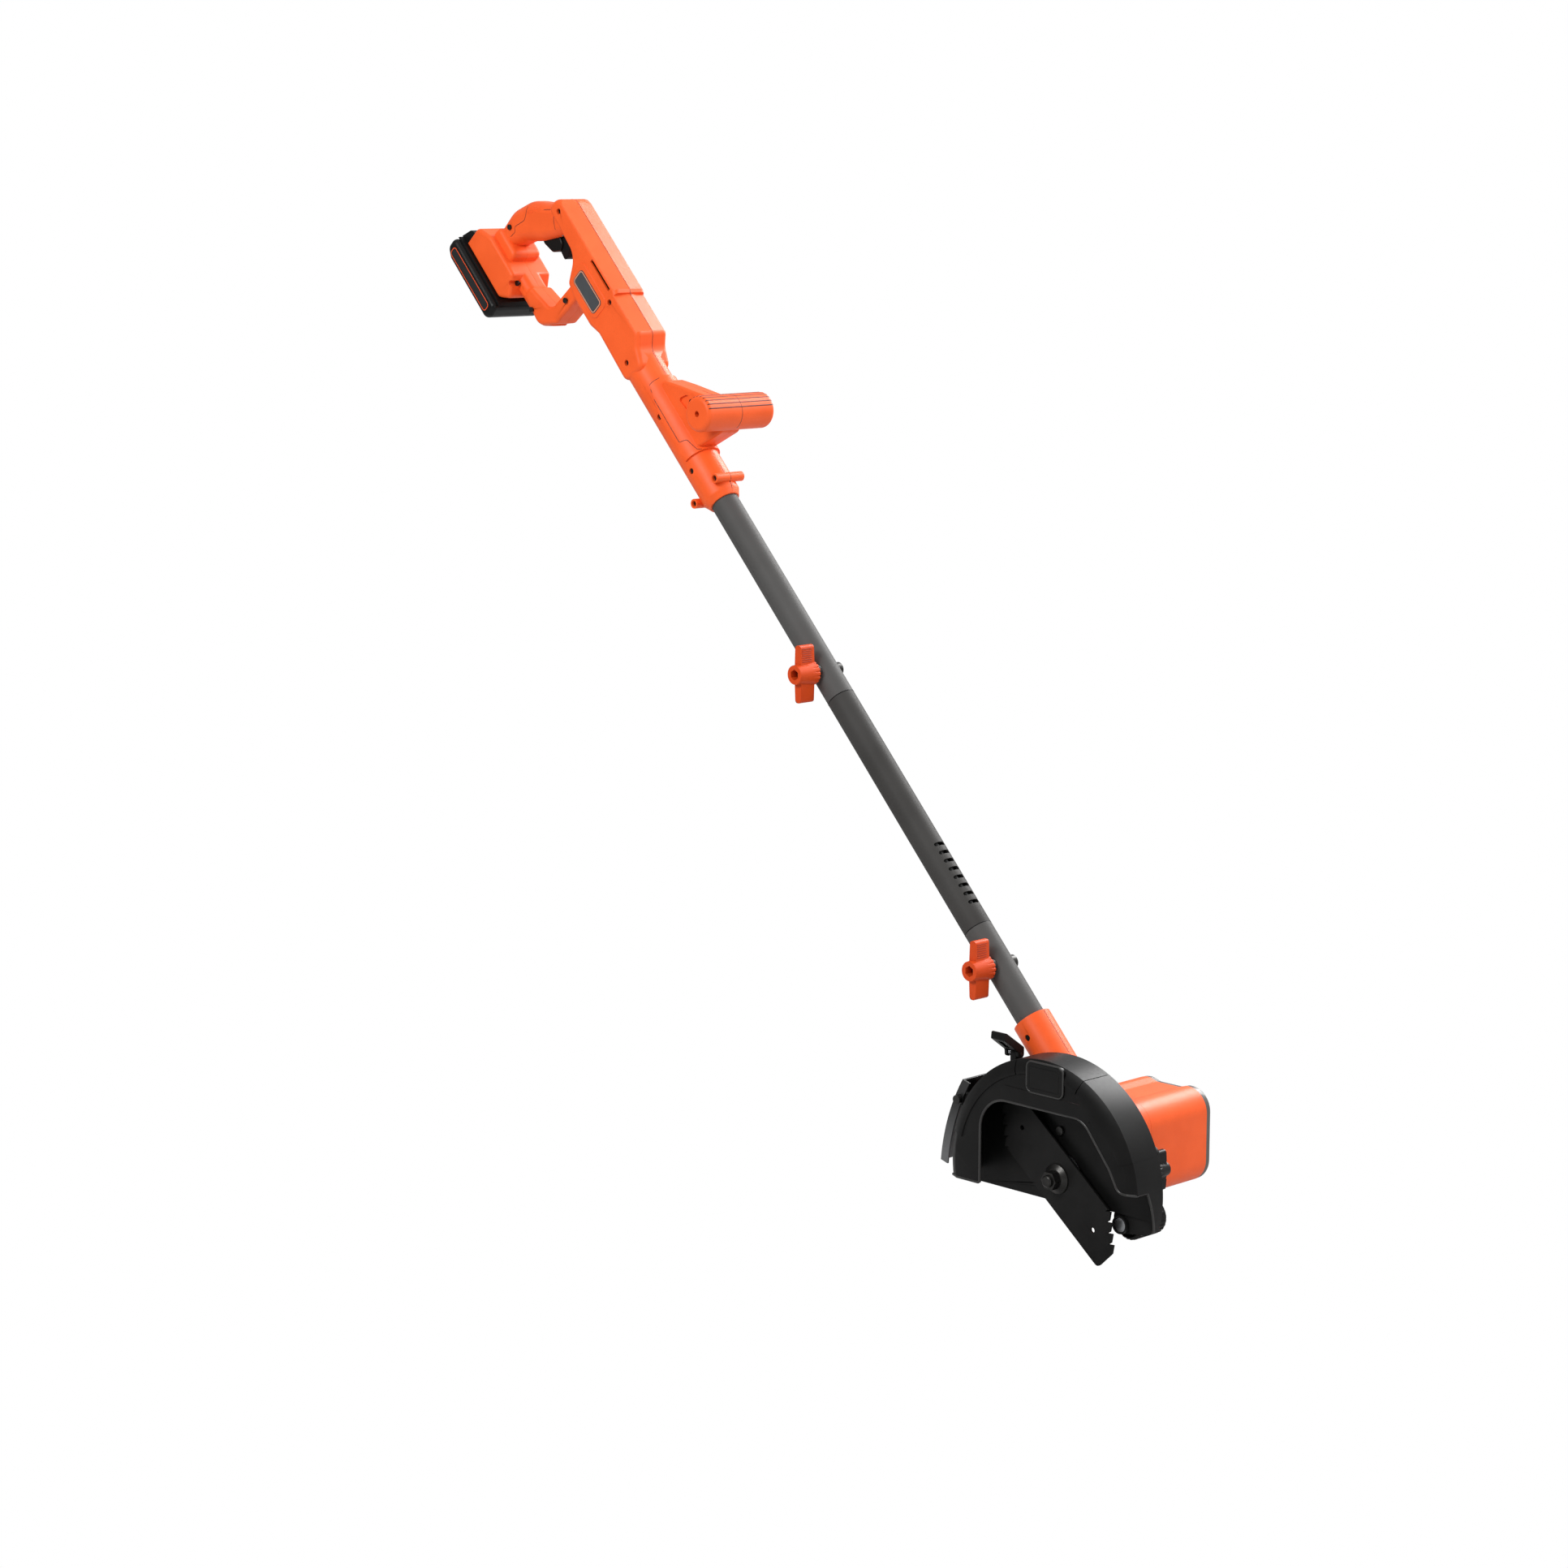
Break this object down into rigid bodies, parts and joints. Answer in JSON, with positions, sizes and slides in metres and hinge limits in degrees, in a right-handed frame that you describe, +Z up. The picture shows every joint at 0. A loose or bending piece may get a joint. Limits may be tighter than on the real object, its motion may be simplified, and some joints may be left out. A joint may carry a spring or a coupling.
{
  "type": "lawn edger",
  "caption": "Battery lawn edger: a D-grip handle with a front bar, a straight jointed shaft and a cutting head with a guarded blade, a motor housing and a depth wheel.",
  "frame": {"origin": "on the blade spindle's axis, in the middle of the blade's thickness", "axes": "+X the way the tool travels, +Y from the blade towards the motor, +Z up as it stands in use"},
  "size_m": [1.0508, 0.1612, 1.0174],
  "materials": {
    "orange_plastic": "fine grained moulded plastic",
    "black_plastic": "satin moulded plastic",
    "grey_plastic": "satin moulded plastic",
    "label_grey": "smooth blank plate",
    "tube_finish": "dark satin coating",
    "black_steel": "black coated steel",
    "bright_steel": "zinc plated",
    "gear_steel": "cut steel",
    "cast_metal": "die cast",
    "copper": "wound copper and contacts",
    "rubber_black": "matt rubber",
    "board_green": "coated circuit board",
    "cell_green": "cell sleeve"
  },
  "bodies": {
    "handle": {"handle_left": "orange_plastic", "handle_right": "orange_plastic", "nameplates": "label_grey", "handle_screws": "black_steel", "assist_left": "orange_plastic", "assist_right": "orange_plastic", "upper_tube": "tube_finish", "upper_lead": "rubber_black", "upper_clamp_bolt": "bright_steel", "trigger_pins": "bright_steel", "trigger_spring": "bright_steel", "switch_body": "black_plastic", "control_board": "board_green", "contact_block": "black_plastic"},
    "trigger": {"trigger": "black_plastic"},
    "lock_off": {"lock_off": "black_plastic"},
    "upper_knob": {"upper_knob": "orange_plastic"},
    "battery": {"pack_case": "black_plastic", "pack_lid": "black_plastic", "pack_cells": "cell_green"},
    "pack_button": {"pack_button": "black_plastic"},
    "middle": {"middle_tube": "tube_finish", "middle_lead": "rubber_black"},
    "head": {"lower_tube": "tube_finish", "lower_lead": "rubber_black", "lower_clamp_bolt": "bright_steel", "motor_housing_left": "orange_plastic", "motor_housing_right": "orange_plastic", "motor_end_cap": "black_plastic", "gear_carrier": "cast_metal", "motor_plate": "cast_metal", "motor_can": "bright_steel", "motor_magnets": "cast_metal", "motor_brushes": "copper", "spindle_bearings": "bright_steel", "guard": "black_plastic", "guard_badges": "label_grey", "head_screws": "bright_steel", "guard_bolts": "black_steel", "flap_bracket": "black_steel", "lever_pin": "bright_steel", "lever_spring": "bright_steel"},
    "lower_knob": {"lower_knob": "orange_plastic"},
    "drive": {"blade": "black_steel", "inner_flange": "bright_steel", "dome_washer": "bright_steel", "blade_nut": "bright_steel", "spindle": "bright_steel", "output_gear": "gear_steel"},
    "idler": {"idler_gear": "gear_steel"},
    "rotor": {"motor_rotor": "copper", "motor_fan": "black_plastic", "motor_pinion": "gear_steel"},
    "wheel_bracket": {"wheel_bracket": "black_steel", "wheel_axle": "bright_steel"},
    "wheel": {"wheel": "black_plastic"},
    "depth_knob": {"depth_knob": "black_plastic"},
    "debris_flap": {"debris_flap": "grey_plastic"},
    "release_lever": {"release_lever": "black_plastic"}
  },
  "joints": [
    {"name": "trigger_pull", "type": "hinge", "parent": "handle", "child": "trigger", "pos_m": [-0.77335, 0.036, 0.91354], "axis": [0, 1, 0], "range_deg": [0, 5], "stiffness_Nm_per_rad": 0.3},
    {"name": "lock_press", "type": "hinge", "parent": "handle", "child": "lock_off", "pos_m": [-0.75898, 0.036, 0.90229], "axis": [0, 1, 0], "range_deg": [0, 6], "stiffness_Nm_per_rad": 0.05},
    {"name": "upper_knob_turn", "type": "hinge", "parent": "handle", "child": "upper_knob", "pos_m": [-0.36204, 0.018, 0.46171], "axis": [0, 1, 0], "range_deg": [0, 450]},
    {"name": "battery_slide", "type": "slide", "parent": "handle", "child": "battery", "axis": [-0.6756, 0, 0.7373], "range_m": [0, 0.11]},
    {"name": "pack_button_press", "type": "slide", "parent": "battery", "child": "pack_button", "axis": [-0.7373, 0, -0.6756], "range_m": [0, 0.002], "stiffness_N_per_m": 200},
    {"name": "upper_joint_slide", "type": "slide", "parent": "handle", "child": "middle", "axis": [0.6756, 0, -0.7373], "range_m": [0, 0.04]},
    {"name": "lower_joint_slide", "type": "slide", "parent": "middle", "child": "head", "axis": [0.6756, 0, -0.7373], "range_m": [0, 0.04]},
    {"name": "lower_knob_turn", "type": "hinge", "parent": "head", "child": "lower_knob", "pos_m": [-0.11343, 0.018, 0.19039], "axis": [0, 1, 0], "range_deg": [0, 450]},
    {"name": "blade_spin", "type": "hinge", "parent": "head", "child": "drive", "pos_m": [0, 0, 0], "axis": [0, 1, 0], "continuous": true},
    {"name": "idler_spin", "type": "hinge", "parent": "head", "child": "idler", "pos_m": [0.00847, 0, 0.03073], "axis": [0, 1, 0], "continuous": true},
    {"name": "motor_spin", "type": "hinge", "parent": "head", "child": "rotor", "pos_m": [0.038, 0, 0.036], "axis": [0, 1, 0], "continuous": true},
    {"name": "depth_slide", "type": "slide", "parent": "head", "child": "wheel_bracket", "axis": [0, 0, -1], "range_m": [0, 0.018]},
    {"name": "wheel_spin", "type": "hinge", "parent": "wheel_bracket", "child": "wheel", "pos_m": [0.074, 0.039, -0.033], "axis": [0, 1, 0], "continuous": true},
    {"name": "depth_knob_turn", "type": "hinge", "parent": "head", "child": "depth_knob", "pos_m": [0.109, 0.02, 0.026], "axis": [0, 1, 0], "range_deg": [0, 450]},
    {"name": "flap_swing", "type": "hinge", "parent": "head", "child": "debris_flap", "pos_m": [-0.115, 0, 0.062], "axis": [0, 1, 0], "range_deg": [-8, 20]},
    {"name": "lever_lift", "type": "hinge", "parent": "head", "child": "release_lever", "pos_m": [-0.06375, 0.005, 0.1145], "axis": [-1, 0, 0], "range_deg": [0, 25], "stiffness_Nm_per_rad": 0.15}
  ],
  "couplings": [
    {"joint": "idler_spin", "follows": "blade_spin", "ratio": -2},
    {"joint": "motor_spin", "follows": "blade_spin", "ratio": 6}
  ]
}
